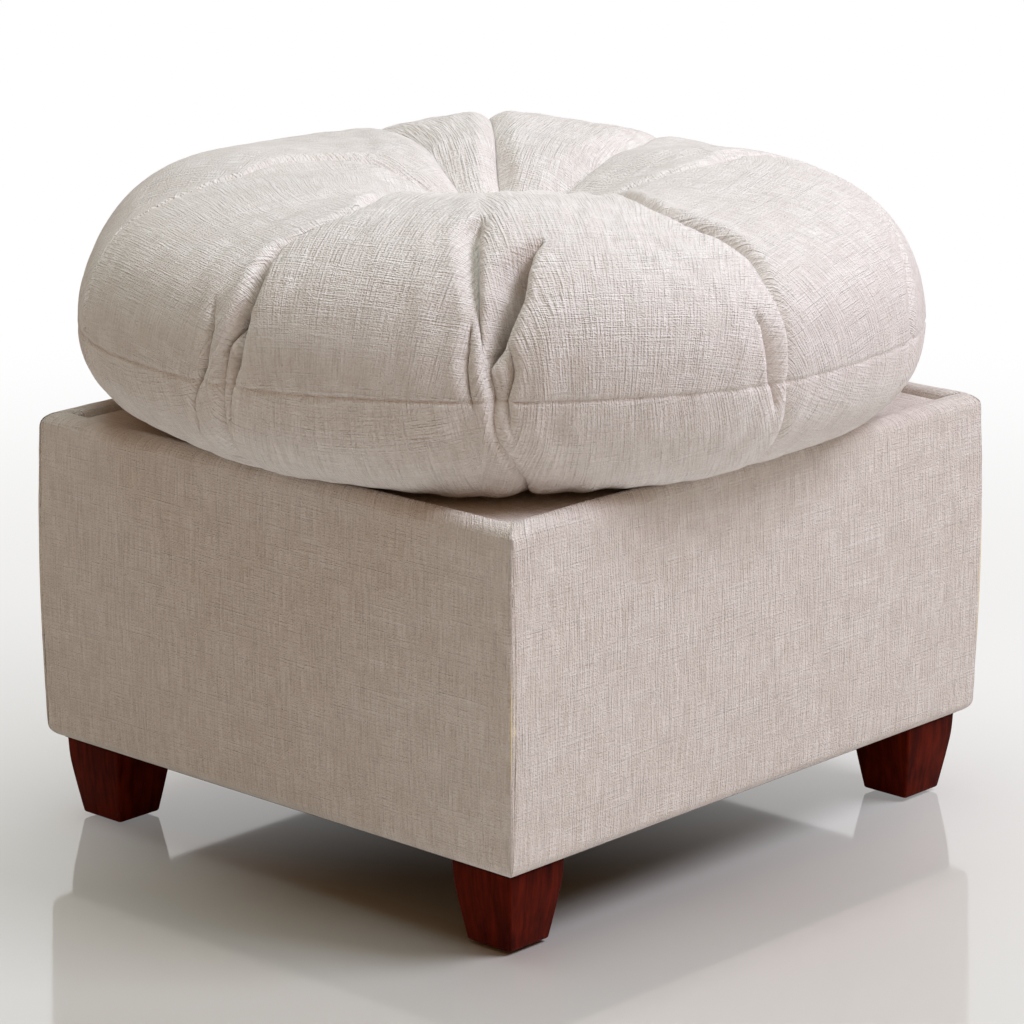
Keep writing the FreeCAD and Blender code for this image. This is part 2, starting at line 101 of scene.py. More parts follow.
class Flow:
    """A number, colour or vector that comes out of a shader node and takes part in formulas."""

    def __init__(self, finish, socket):
        self.finish = finish
        self.socket = socket

    __add__, __radd__ = operator("ADD"), operator("ADD", True)
    __sub__, __rsub__ = operator("SUBTRACT"), operator("SUBTRACT", True)
    __mul__, __rmul__ = operator("MULTIPLY"), operator("MULTIPLY", True)


class Finish:
    """A material whose nodes are written as formulas."""

    def __init__(self, name):
        self.material = bpy.data.materials.new(name)
        self.material.use_nodes = True
        self.tree = self.material.node_tree
        self.surface = self.tree.nodes["Principled BSDF"]

    def feed(self, socket, value):
        if isinstance(value, Flow):
            self.tree.links.new(value.socket, socket)
        else:
            socket.default_value = value

    def node(self, kind, settings=None, inputs=None, output=0):
        """A new node, with its settings made first, then the values or links of its sockets."""
        made = self.tree.nodes.new("ShaderNode" + kind)
        for key, value in (settings or {}).items():
            setattr(made, key, value)
        for key, value in (inputs or {}).items():
            self.feed(made.inputs[key], value)
        return Flow(self, made.outputs[output])

    def place(self, scale=(1, 1, 1), flat=None):
        """Position on the object in metres, or on the flat cloth, multiplied along each axis."""
        if flat:
            start = self.node("UVMap", {"uv_map": flat})
        else:
            start = self.node("TexCoord", output=OBJECT_OUTPUT)
        return self.node("VectorMath", {"operation": "MULTIPLY"}, {0: start, 1: scale})

    def noise(self, scale, detail=2.0, rough=0.5, swirl=0.0, flat=None):
        """Cloudy pattern about 0.5, with that many clouds to a metre along each axis."""
        sockets = {"Vector": self.place(scale, flat), "Scale": 1.0, "Detail": detail}
        sockets.update({"Roughness": rough, "Distortion": swirl})
        return self.node("TexNoise", inputs=sockets)

    def step(self, value, low, high):
        """0 below the low value and 1 above the high one, with a soft change between."""
        sockets = {"Value": value, "From Min": low, "From Max": high}
        return self.node("MapRange", {"interpolation_type": "SMOOTHSTEP"}, sockets)

    def blend(self, share, first, second):
        """Colour between two, by a share. Sockets 6 and 7 and output 2 carry the colours."""
        settings = {"data_type": "RGBA", "clamp_factor": True}
        return self.node("Mix", settings, {0: share, 6: first, 7: second}, 2)

    def bump(self, height, depth, strength=1.0):
        """Relief of that depth in metres where the height runs from 0 to 1."""
        sockets = {"Height": height, "Distance": depth, "Strength": strength}
        self.feed(self.surface.inputs["Normal"], self.node("Bump", inputs=sockets))

    def set(self, **sockets):
        """Feeds the surface's own sockets, named with _ for a space."""
        for key, value in sockets.items():
            self.feed(self.surface.inputs[key.replace("_", " ")], value)
        return self.material


def tone(red, green, blue):
    """Colour from its eight-bit screen values."""
    screen = [value / 255 for value in (red, green, blue)]
    return tuple([s / 12.92 if s < 0.04045 else ((s + 0.055) / 1.055) ** 2.4 for s in screen] + [1])


def floor_finish():
    """Diffuse grey under a weak mirror, which turns to plain white far from the pouf."""
    finish = Finish("floor_polished")
    offset = finish.node("VectorMath", {"operation": "ADD"}, {0: finish.place(), 1: FADE_SHIFT})
    distance = finish.node("VectorMath", {"operation": "LENGTH"}, {0: offset}, 1)
    first = finish.step(distance, *FIRST_FADE) * FIRST_FADE_SHARE
    second = finish.step(distance, *SECOND_FADE) * (1 - FIRST_FADE_SHARE)
    far = (first + second) * finish.node("LightPath")
    matt = finish.node("BsdfDiffuse", inputs={"Color": FLOOR_TONE})
    shine = finish.node("BsdfGlossy", inputs={"Roughness": FLOOR_ROUGHNESS})
    near = finish.node("MixShader", inputs={0: FLOOR_SHINE, 1: matt, 2: shine})
    white = finish.node("Emission")
    mixed = finish.node("MixShader", inputs={0: far, 1: near, 2: white})
    finish.feed(finish.tree.nodes["Material Output"].inputs[0], mixed)
    return finish.material


floor_mesh = bmesh.new()
bmesh.ops.create_circle(floor_mesh, cap_ends=True, radius=FLOOR_RADIUS, segments=96)
floor = bpy.data.objects.new("floor", bpy.data.meshes.new("floor"))
floor_mesh.to_mesh(floor.data)
floor_mesh.free()
floor.data.materials.append(floor_finish())
scene.collection.objects.link(floor)


def lamp(name, place, size, watts, colour):
    """Square soft lamp that points at the middle of the pouf."""
    light = bpy.data.objects.new(name, bpy.data.lights.new(name, "AREA"))
    light.data.size = size
    light.data.energy = watts
    light.data.color = colour
    light.location = place
    light.rotation_mode = "QUATERNION"
    light.rotation_quaternion = (Vector(place) - LAMP_AIM).to_track_quat("Z", "Y")
    scene.collection.objects.link(light)


lamp("key_lamp", (1.3, -2.4, 3.4), 1.8, 113, (0.975, 1.0, 1.14))
lamp("top_lamp", (-0.3, 0.3, 3.6), 2.0, 48, (0.79, 1.0, 1.04))

world = bpy.data.worlds.new("studio")
world.use_nodes = True
scene.world = world
sky = world.node_tree.nodes
light_path = sky.new("ShaderNodeLightPath")
seen_share = sky.new("ShaderNodeMath")
seen_share.operation = "MAXIMUM"
sky_mix = sky.new("ShaderNodeMixShader")
white_sky = sky.new("ShaderNodeBackground")
white_sky.inputs["Color"].default_value = (1, 1, 1, 1)
white_sky.inputs["Strength"].default_value = 1.0
dim_sky = sky["Background"]
dim_sky.inputs["Color"].default_value = WORLD_TONE
dim_sky.inputs["Strength"].default_value = WORLD_LIGHT
for source, socket in (
    (light_path.outputs["Is Camera Ray"], seen_share.inputs[0]),
    (light_path.outputs["Is Glossy Ray"], seen_share.inputs[1]),
    (seen_share.outputs[0], sky_mix.inputs[0]),
    (dim_sky.outputs[0], sky_mix.inputs[1]),
    (white_sky.outputs[0], sky_mix.inputs[2]),
    (sky_mix.outputs[0], sky["World Output"].inputs[0]),
):
    world.node_tree.links.new(source, socket)


# Wooden box: birch plywood panels and deck board, pine cleats and corner blocks.
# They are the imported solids, glued and screwed, and only get their wood here.
PLYWOOD = [name for name in nodes if name.startswith("frame_panel")] + ["deck_board"]
SOFTWOOD = [name for name in nodes if name.startswith(("corner_block", "deck_cleat"))]


def finished(names, material):
    """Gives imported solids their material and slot."""
    for name in names:
        solid = nodes[name]
        solid.data.materials.clear()
        solid.data.materials.append(material)


def wood(name, pale, dark, grain, rough):
    """Sawn wood with its grain along one axis, given as the pattern's scale on each axis."""
    finish = Finish(name)
    lines = finish.noise(grain, 4.0, 0.6, 0.6)
    pores = finish.noise([value * 7 for value in grain])
    figure = finish.step(lines * 0.75 + pores * 0.25, 0.3, 0.7)
    finish.bump(figure * 0.4 + pores * 0.6, 0.3 * MM, 0.6)
    return finish.set(Base_Color=finish.blend(figure, dark, pale), Roughness=rough + pores * 0.15)


finished(
    PLYWOOD,
    wood("plywood", tone(222, 195, 155), tone(190, 152, 108), (9, 9, 70), 0.55),
)
finished(
    SOFTWOOD,
    wood("softwood", tone(224, 190, 140), tone(186, 140, 88), (60, 12, 60), 0.6),
)


# Fixings: zinc-plated steel screws, hanger bolts, tee nuts and staples.
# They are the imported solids, driven into the frame from outside and below.
FIXINGS = [
    name for name in nodes
    if name.startswith(("hanger_bolt", "tee_nut")) or name.endswith(("screws", "staples"))
]


def plated_steel():
    finish = Finish("plated_steel")
    cloud = finish.noise((260, 260, 260), 3.0)
    scratches = finish.noise((90, 90, 1400))
    finish.bump(scratches, 0.08 * MM, 0.5)
    colour = finish.blend(cloud, tone(168, 166, 160), tone(205, 203, 198))
    return finish.set(Base_Color=colour, Metallic=1.0, Roughness=0.25 + cloud * 0.2)


finished(FIXINGS, plated_steel())


# Padding: foam on the four sides, which stands above the panels' tops as a rolled rim.
# It is cut to shape and glued down, and the covers are drawn over it.
lowest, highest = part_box("side_cover_front")
HALF_WIDTH = highest.x
HALF_DEPTH = -lowest.y
CREST_Z = highest.z
COVER_Z = lowest.z
# Crown of a face, radius of the roll, thickness of the cloth, how far in the crease lies, how
# far the rim stands above the deck, and how far the cloth is turned in under the frame.
CROWN = 3 * MM
ROLL = 13 * MM
FABRIC = 1.2 * MM
CREASE = 24 * MM
RIM_RISE = 6 * MM
TUCK = 38 * MM
DECK_Z = CREST_Z - RIM_RISE
PANEL_FACE = 9 * MM
PANEL_TOP_Z = CREST_Z - ROLL
FACE_ROWS = 40
SIDES = ("front", "right", "back", "left")


def arc(centre, radius_in, radius_up, start, end, count):
    """Points (inward, height) along an ellipse's arc, in degrees from straight inward."""
    turns = [radians(start + (end - start) * step / count) for step in range(count + 1)]
    return [(centre[0] + radius_in * cos(t), centre[1] + radius_up * sin(t)) for t in turns]


def side_skin(inset):
    """Outer section of a side from its lower rounding, over the face and rim, to the crease."""
    edge = CROWN + ROLL
    small = ROLL - inset
    low_z, roll_z = COVER_Z + ROLL, CREST_Z - ROLL
    skin = arc((edge, low_z), small, small, 270, 180, 8)
    for row in range(1, FACE_ROWS):
        share = row / FACE_ROWS
        skin.append((inset + CROWN * (2 * share - 1) ** 2, low_z + (roll_z - low_z) * share))
    skin += arc((edge, roll_z), small, small, 180, 90, 10)
    fall = CREASE - edge
    skin += arc((edge, CREST_Z - RIM_RISE - inset), fall, RIM_RISE, 90, 0, 8)[1:]
    return skin


def side_place(turns, along, inward, height):
    """Point of a side, drawn for the front and turned to its place by quarter turns."""
    x, y = along, inward - (HALF_WIDTH if turns % 2 else HALF_DEPTH)
    for turn in range(turns):
        x, y = -y, x
    return (x, y, height)


def new_piece(name, points, faces, material, body="base"):
    """Object from points and faces, smooth, with its material, slot and body."""
    mesh = bpy.data.meshes.new(name)
    mesh.from_pydata([tuple(p) for p in points], [], faces)
    mesh.polygons.foreach_set("use_smooth", [True] * len(mesh.polygons))
    mesh.materials.append(material)
    piece = bpy.data.objects.new(name, mesh)
    scene.collection.objects.link(piece)
    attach(piece, body)
    return piece


def grid_faces(rows, columns, closed=False):
    """Four-sided faces of a grid of points, whose rows may run round on themselves."""
    return [
        (
            row * columns + column,
            row * columns + (column + 1) % columns,
            (row + 1) * columns + (column + 1) % columns,
            (row + 1) * columns + column,
        )
        for row in range(rows - 1) for column in range(columns if closed else columns - 1)
    ]


def foam():
    finish = Finish("foam")
    cells = finish.noise((900, 900, 900), 2.0, 0.7)
    cloud = finish.noise((14, 14, 14), 3.0)
    finish.bump(cells, 0.6 * MM, 0.8)
    colour = finish.blend(cloud * 0.6 + cells * 0.4, tone(232, 214, 168), tone(247, 236, 204))
    return finish.set(Base_Color=colour, Roughness=0.9)


foam_finish = foam()
PAD_CUT = (
    (CREASE, PANEL_TOP_Z),
    (PANEL_FACE, PANEL_TOP_Z),
    (PANEL_FACE, COVER_Z + FABRIC + CROWN + ROLL - PANEL_FACE),
)


def side_pad(turns):
    """Foam of one side: the cover's section less the cloth, closed along the panel."""
    section = side_skin(FABRIC) + list(PAD_CUT)
    length = HALF_DEPTH if turns % 2 else HALF_WIDTH
    points = []
    for end in (-1, 1):
        points += [
            side_place(turns, end * (length - inward), inward, height)
            for inward, height in section
        ]
    count = len(section)
    faces = [tuple(range(count)), tuple(range(2 * count - 1, count - 1, -1))]
    for first in range(count):
        second = (first + 1) % count
        faces.append((first + count, second + count, second, first))
    name = "side_foam_" + SIDES[turns]
    pad = new_piece(name, points, faces, foam_finish)
    pad.data.polygons.foreach_set("use_smooth", [False] * len(faces))
    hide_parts("side_pad_" + SIDES[turns])


for turns in range(4):
    side_pad(turns)


# Deck: the foam pad on the board, and the cloth drawn over it and sewn into the crease.
# Both dip where the crease pulls them down beside the rolled rim. Their sections are points
# (inward, height) from the crease to the middle.
PAD_TOP_Z = DECK_Z - FABRIC
BOARD_TOP_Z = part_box("deck_pad")[0].z
VALLEY = (CREASE + 0.6 * MM, DECK_Z - 1.9 * MM)
VALLEY_ROWS = [
    (CREASE + 0.2 * MM, DECK_Z - 0.7 * MM),
    (CREASE + 0.35 * MM, DECK_Z - 1.4 * MM),
    VALLEY,
]
DECK_ROWS = [
    VALLEY,
    (25.4 * MM, DECK_Z - 1.7 * MM),
    (27.5 * MM, DECK_Z - 0.9 * MM),
    (31 * MM, DECK_Z - 0.3 * MM),
    (35 * MM, DECK_Z),
] + [(inward * MM, DECK_Z) for inward in (45, 60, 80, 105, 140, 190, 240)]
PAD_ROWS = [
    (CREASE, BOARD_TOP_Z),
    (CREASE, DECK_Z - 8 * MM),
    (25 * MM, DECK_Z - 5.5 * MM),
    (28 * MM, DECK_Z - 3 * MM),
    (34 * MM, DECK_Z - 1.4 * MM),
    (42 * MM, PAD_TOP_Z),
    (120 * MM, PAD_TOP_Z),
]
DECK_COLUMNS = 60
PAD_COLUMNS = 12
DECK_WAVE = 0.5 * MM
DECK_WAVE_REACH = 45 * MM


def box_loop(inward, height, columns):
    """Points round the box at one distance inward, from the front left corner on."""
    loop = []
    for turns in range(4):
        length = (HALF_DEPTH if turns % 2 else HALF_WIDTH) - inward
        for column in range(columns):
            along = (2 * column / columns - 1) * length
            loop.append(side_place(turns, along, inward, height))
    return loop


def waves(place, size, seed):
    """Smooth random number between about -1 and 1 that changes over that distance."""
    return noise.noise(Vector(place) / size + Vector((seed * 7.31, seed * 3.17, seed)))


def capped_loops(name, rows, columns, material, closed_below=False):
    """Cap over loops of the box, from the outermost row to the innermost."""
    points = [point for inward, height in rows for point in box_loop(inward, height, columns)]
    count = 4 * columns
    faces = grid_faces(len(rows), count, closed=True)
    faces.append(tuple(range(len(points) - count, len(points))))
    if closed_below:
        faces.append(tuple(range(count))[::-1])
    return new_piece(name, points, faces, material)


deck_foam = capped_loops(
    "deck_foam", PAD_ROWS, PAD_COLUMNS, foam_finish, closed_below=True,
)
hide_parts("deck_pad")


# Weave: how much the threads, the grain between them and the two kinds of slub stand up, the
# depth of all that, and how far from its middle height the painted shade of the hollows reaches.
THREAD_RISE, GRAIN_RISE, SLUB_RISE, CROSS_SLUB_RISE = 0.7, 0.5, 0.1, 0.13
WEAVE_DEPTH = 3 * MM
SHADE_REACH = 0.35
# Share of the cross threads outside the patches, and what the patches add to it.
PLAIN_CROSS, PATCH_CROSS = 0.6, 0.4


def linen(name, thread, hollow, warmth, crossed):
    """Slubby plain weave: upright threads that show most, crossed by finer ones in patches."""
    finish = Finish(name)

    def pattern(across, up, detail=1.0, rough=0.5):
        return finish.noise((across, up, 1), detail, rough, flat="cloth")

    upright = pattern(680, 30, rough=0.6)
    level = pattern(30, 680, rough=0.6)
    grain = pattern(620, 620, rough=0.6)
    patches = finish.step(pattern(24, 34), 0.4, 0.62)
    slub = finish.step(pattern(420, 11, detail=0.0), 0.66, 0.74)
    cross_slub = finish.step(pattern(11, 420, detail=0.0), 0.68, 0.75)
    cross = crossed * (PLAIN_CROSS + PATCH_CROSS * patches)
    weave = upright * THREAD_RISE + level * (cross * THREAD_RISE) + grain * GRAIN_RISE
    relief = weave + slub * SLUB_RISE + cross_slub * CROSS_SLUB_RISE
    finish.bump(relief, WEAVE_DEPTH)
    usual_cross = crossed * (PLAIN_CROSS + PATCH_CROSS / 2)
    middle = (THREAD_RISE + THREAD_RISE * usual_cross + GRAIN_RISE) / 2
    # Painted shade: the hollow colour is laid where the weave's relief is low, as shade between
    # threads.
    shade = finish.step(relief, middle - SHADE_REACH, middle + SHADE_REACH)
    woven = finish.blend(shade, hollow, thread)
    cloud = pattern(8, 8, detail=2.0)
    colour = finish.blend(finish.step(cloud, 0.4, 0.7) * 0.12, woven, warmth)
    finish.set(Sheen_Weight=0.08, Sheen_Roughness=0.5, Specular_IOR_Level=0.12)
    return finish.set(Base_Color=colour, Roughness=0.92 - 0.08 * slub)


# The second colour is the painted shade of the weave's hollows.
base_linen = linen(
    "base_linen", tone(247, 240, 234), tone(217, 205, 195), tone(230, 217, 205), 0.55,
)


def lay_flat(piece, flat):
    """Writes the flat cloth's coordinates of each face's corners, in metres, to its UV map."""
    layer = piece.data.uv_layers.new(name="cloth")
    layer.data.foreach_set("uv", np.asarray(flat, float).ravel())


deck_cover = capped_loops("deck_cloth", DECK_ROWS, DECK_COLUMNS, base_linen)
for vertex in deck_cover.data.vertices:
    vertex.co.z -= DECK_WAVE * (0.5 + waves(vertex.co, DECK_WAVE_REACH, 3))
lay_flat(deck_cover, [
    deck_cover.data.vertices[loop.vertex_index].co.xy for loop in deck_cover.data.loops
])
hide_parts("deck_cover")


def thickened(piece, depth):
    """Gives a cloth its thickness, inward from its face."""
    wall = piece.modifiers.new("cloth_thickness", "SOLIDIFY")
    wall.thickness = depth
    wall.offset = -1
    wall.use_even_offset = False


thickened(deck_cover, FABRIC)


# Side covers: one panel of linen to each side, which wraps round its far corner to the seam.
# They are sewn at the corners, mitred over the rim, and stapled under the frame.
CORNER_ROUND = 5 * MM
LEAST_ROUND = 0.4 * MM
SEAM_DEPTH = 0.95 * MM
SEAM_WIDTH = 1.1 * MM
CORNER_COLUMNS = 8
USUAL_COLUMN = 6 * MM
# Height and reach of the padding's wide waves and small ones, and of the puckers beside a seam.
WIDE_WAVE, WIDE_REACH = 0.8 * MM, 75 * MM
SMALL_WAVE, SMALL_REACH = 0.25 * MM, 20 * MM
PUCKER, PUCKER_REACH, PUCKER_FADE = 0.5 * MM, 7 * MM, 11 * MM


def side_columns(length):
    """Places along the straight run, from -1 to 1, close together beside the seams."""
    near = [step * 1.2 * MM for step in range(12)] + [(14 + 2.5 * step) * MM for step in range(10)]
    run = 2 * length - 2 * near[-1]
    wide = max(2, round(run / USUAL_COLUMN))
    middle = [near[-1] + run * step / wide for step in range(1, wide)]
    places = near + middle + [2 * length - distance for distance in near[::-1]]
    return [place / length - 1 for place in places]


def side_grid(turns, section):
    """Arrays of the cover's points and of its flat coordinates."""
    length = HALF_DEPTH if turns % 2 else HALF_WIDTH
    columns = side_columns(length)
    points, flat = [], []
    climb = 0.0
    before = section[0]
    for inward, height in section:
        climb += hypot(inward - before[0], height - before[1])
        before = (inward, height)
        bend = max(CORNER_ROUND - inward, LEAST_ROUND)
        end = length - inward - bend
        row = [(share * end, inward) for share in columns]
        spread = [share * length for share in columns]
        for step in range(1, CORNER_COLUMNS + 1):
            angle = pi / 2 * step / CORNER_COLUMNS
            row.append((end + bend * sin(angle), inward + bend * (1 - cos(angle))))
            spread.append(length + CORNER_ROUND * angle)
        points.append([side_place(turns, along, deep, height) for along, deep in row])
        flat.append([(along, climb) for along in spread])
    return np.array(points), np.array(flat)


def outward(points):
    """Unit normals of a grid of points."""
    across = np.cross(np.gradient(points, axis=1), np.gradient(points, axis=0))
    return across / np.maximum(np.linalg.norm(across, axis=2, keepdims=True), 1e-12)


def corner_uvs(flat):
    """Flat coordinates of each face corner of an open grid, in the order of its faces."""
    corners = [flat[:-1, :-1], flat[:-1, 1:], flat[1:, 1:], flat[1:, :-1]]
    return np.stack(corners, axis=2).reshape(-1, 2)


def ramp(value, low, high):
    """0 at the low value and 1 at the high one, straight between and level beyond."""
    return np.clip((value - low) / (high - low), 0, 1)


def side_cover(turns):
    """Cover of one side, with its seams drawn in and a soft unevenness over the padding."""
    under = [(TUCK, COVER_Z), (30 * MM, COVER_Z), (22 * MM, COVER_Z)]
    section = under + side_skin(0) + VALLEY_ROWS
    points, flat = side_grid(turns, section)
    rows, columns = points.shape[:2]
    raised = np.zeros((rows, columns))
    girth = flat[:, 0, 1][:, None]
    start = flat[0, :, 0] - flat[0, 0, 0]
    end = flat[0, -1, 0] - flat[0, :, 0]
    near = np.minimum(start, end)
    for row in range(rows):
        for column in range(columns):
            place = points[row, column]
            soft = WIDE_WAVE * waves(place, WIDE_REACH, turns + 1)
            soft += SMALL_WAVE * waves(place, SMALL_REACH, turns + 5)
            pull = PUCKER * waves((flat[row, 0, 1], 0, 0), PUCKER_REACH, turns + 9)
            raised[row, column] = soft + pull * exp(-near[column] / PUCKER_FADE)
    raised -= SEAM_DEPTH * np.exp(-(near / SEAM_WIDTH) ** 2)
    last = girth.max()
    free = ramp(girth, 30 * MM, 50 * MM) * ramp(girth, last - 3 * MM, last - 9 * MM)
    points = points + outward(points) * (raised * free)[:, :, None]
    name = "side_cloth_" + SIDES[turns]
    faces = grid_faces(rows, columns)
    cover = new_piece(name, points.reshape(-1, 3), faces, base_linen)
    lay_flat(cover, corner_uvs(flat))
    thickened(cover, FABRIC)
    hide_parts("side_cover_" + SIDES[turns])


for turns in range(4):
    side_cover(turns)


# Dust cover: thin black cloth stretched over the underside, a little slack in its middle.
# It hides the inside of the frame, and is stapled along the panels' lower edges.
DUST_CLOTH = 0.8 * MM
DUST_SAG = 1.5 * MM
DUST_CELLS = 48


def dust_cover():
    low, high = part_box("dust_cover")
    points, flat = [], []
    for row in range(DUST_CELLS + 1):
        for column in range(DUST_CELLS + 1):
            share_x, share_y = column / DUST_CELLS, row / DUST_CELLS
            hang = DUST_SAG * sin(pi * share_x) * sin(pi * share_y)
            x, y = low.x + (high.x - low.x) * share_x, high.y + (low.y - high.y) * share_y
            points.append((x, y, low.z - hang))
            flat.append((x, y))
    size = DUST_CELLS + 1
    finish = Finish("dust_cloth")
    fibres = finish.noise((700, 700, 1), 3.0, 0.7, flat="cloth")
    finish.bump(fibres, 0.3 * MM, 0.6)
    colour = finish.blend(fibres, tone(20, 19, 18), tone(46, 44, 42))
    material = finish.set(Base_Color=colour, Roughness=0.85 + fibres * 0.1)
    cloth = new_piece("dust_cloth", points, grid_faces(size, size), material)
    flat = np.array(flat).reshape(size, size, 2)
    lay_flat(cloth, corner_uvs(flat))
    thickened(cloth, DUST_CLOTH)
    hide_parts("dust_cover")


dust_cover()


# Feet: solid wood blocks that taper in a gentle curve, stained dark and satin lacquered.
# Each screws to its corner block by the hanger bolt, and stands on a nylon glide.
FOOT_TOP = 64 * MM
FOOT_TOE = 46 * MM
FOOT_EDGE = 2.2 * MM
TOE_EASE = 1.4 * MM
# The taper's curve: share of the height, and share of the widening that it has there.
FOOT_SHARES = ((0, 0.0), (0.25, 0.33), (0.5, 0.64), (0.75, 0.92), (1, 1.0))
FOOT_ROWS = 20
EDGE_STEPS = 5
CORNERS = ("front_left", "front_right", "back_right", "back_left")


def softened(points, rounds):
    """Line through points with its corners cut again and again, its ends kept."""
    line = np.array(points, float)
    for _ in range(rounds):
        first, second = line[:-1], line[1:]
        cut = np.stack([first * 0.75 + second * 0.25, first * 0.25 + second * 0.75], axis=1)
        line = np.concatenate([line[:1], cut.reshape(-1, line.shape[1])[1:-1], line[-1:]])
    return line


def mahogany_stain():
    finish = Finish("mahogany_stain")
    long_grain = finish.noise((150, 150, 9), 4.0, 0.6, 0.4)
    pores = finish.noise((900, 900, 40))
    worn = finish.noise((35, 35, 35), 3.0)
    figure = finish.step(long_grain * 0.7 + worn * 0.3, 0.3, 0.7)
    finish.bump(pores, 0.12 * MM, 0.5)
    finish.set(Specular_IOR_Level=0.03)
    colour = finish.blend(figure, tone(50, 6, 1), tone(98, 26, 8))
    return finish.set(Base_Color=colour, Roughness=0.42 + pores * 0.14)


def foot_loop(centre, half, height):
    """Square with rounded corners round a foot's middle."""
    loop = []
    hub = (half - FOOT_EDGE) * 2 ** 0.5
    for turn in range(4):
        corner = radians(90 * turn + 45)
        for step in range(EDGE_STEPS + 1):
            angle = radians(90 * turn + 90 * step / EDGE_STEPS)
            loop.append((
                centre.x + hub * cos(corner) + FOOT_EDGE * cos(angle),
                centre.y + hub * sin(corner) + FOOT_EDGE * sin(angle),
                height,
            ))
    return loop


def foot(name, material):
    low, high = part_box("foot_" + name)
    centre = (low + high) / 2
    tall = high.z - low.z
    curve = softened(FOOT_SHARES, 3)
    points = []
    levels = [(0, -TOE_EASE), (0.35 * TOE_EASE, -0.4 * TOE_EASE), (TOE_EASE, 0)]
    levels += [(tall * row / FOOT_ROWS, 0) for row in range(1, FOOT_ROWS + 1)]
    for rise, trim in levels:
        share = np.interp(rise / tall, curve[:, 0], curve[:, 1])
        half = (FOOT_TOE + (FOOT_TOP - FOOT_TOE) * share) / 2 + trim
        points += foot_loop(centre, half, low.z + rise)
    count = 4 * (EDGE_STEPS + 1)
    faces = grid_faces(len(levels), count, closed=True)
    faces += [tuple(range(count))[::-1], tuple(range(len(points) - count, len(points)))]
    block = new_piece("foot_block_" + name, points, faces, material)
    block.data.polygons.foreach_set("use_smooth", [len(f) == 4 for f in faces])
    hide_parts("foot_" + name)


foot_finish = mahogany_stain()
for corner in CORNERS:
    foot(corner, foot_finish)


def nylon():
    finish = Finish("nylon")
    haze = finish.noise((400, 400, 400), 3.0)
    finish.bump(haze, 0.06 * MM, 0.5)
    colour = finish.blend(haze, tone(58, 54, 50), tone(74, 70, 66))
    return finish.set(Base_Color=colour, Roughness=0.4 + haze * 0.15)


finished(["foot_glide_" + corner for corner in CORNERS], nylon())


# Cushion: two round panels of linen, gathered into folds at the middle by a covered button and
# sewn together round the widest part, over loose fibre. It lies on the deck, free to lift off.
# Sizes are in millimetres, and directions in degrees from the side that faces the camera.
CUSHION_MIDDLE = (-6.8, 7.3)
FACING = degrees(VIEW_SIDE) - 90
# Heights of the cloth under the upper button, and of the underside where it lies on the deck.
PIT_Z = 502.0
LYING_Z = 352.5
# The unfolded body by direction: reach, height of the seam, height and radius of the crest,
# fullness above and below the seam (2 is an ellipse), and radius of the part that lies flat.
BODY = (
    (-180, 360, 446, 571, 140, 2.4, 2.1, 262),
    (-140, 359, 444, 561, 140, 2.6, 2.1, 255),
    (-112, 358, 441, 564, 140, 2.9, 2.1, 250),
    (-85, 356, 438, 560, 140, 2.4, 2.2, 243),
    (-50, 358, 442, 560, 165, 2.4, 2.3, 228),
    (0, 357, 448, 581, 215, 2.3, 2.5, 262),
    (50, 358, 444, 560, 165, 2.4, 2.2, 236),
    (90, 355, 438, 567, 185, 2.3, 2.2, 245),
    (112, 356, 441, 561, 165, 2.35, 2.1, 250),
    (140, 358, 444, 555, 140, 2.5, 2.1, 255),
    (180, 360, 446, 571, 140, 2.4, 2.1, 262),
)
# Distances along the cloth, from the button: crest, seam, where it leaves the deck, middle below.
CREST, SEAM, CONTACT, UNDER = 175.0, 455.0, 600.0, 860.0
# Reach of a button, reach and depth of the lower one's dimple, and the power of the sine that
# the top follows from the upper one to the crest.
BUTTON_REACH, DIMPLE_REACH, DIMPLE_DEPTH = 17.0, 46.0, 13.0
DRAWN_POWER = 1.15
# Distance between two values of the body along the cloth.
BODY_STEP = 2.0
# First ring of points, gap that the last one leaves, steps between the rings within distances
# of the seam, and the wide step beyond the low rings' start.
FIRST_RING, LAST_GAP = 5.0, 16.0
RING_STEPS = ((6, 1.5), (15, 3.0), (UNDER, 4.0))
LOW_RINGS, LOW_STEP = 560.0, 10.0
# Depth and width of the line that the seam sinks in.
STITCH_DEPTH, STITCH_WIDTH = 1.8, 1.7
# Heights of the wrinkles beside the folds, of the filling's lumps and of the seam's gathers.
WRINKLE, LUMP, GATHER = 1.2, 2.2, 0.6
# Wrinkles: waves across the fold and along it, their wavering, and how far from it they reach.
ACROSS_WAVE, ALONG_WAVE, WAVER, WRINKLE_REACH = 5.5, 34, 61, 42
# Widths at which a fold's side drops straight into it and rolls over to it, and how much a
# narrow fold is pinched together.
STRAIGHT, ROLLED, PINCH = 12, 22, 1.6
# Gap that the underside keeps over the rolled rim.
RIM_PLAY = 0.6
# Angle on the flat cloth for one on the cushion, for the upper and the lower panel.
UPPER_SPREAD, LOWER_SPREAD = 0.79, 0.88
# Where the middle of a lobe is measured, and how far apart lobes lie on the flat cloth.
LOBE_RING, LOBE_SPACING = CREST + 150, 900
# Between two folds with many columns, these crowd together beside the folds.
FEW_COLUMNS, CROWDING = 20, 0.12
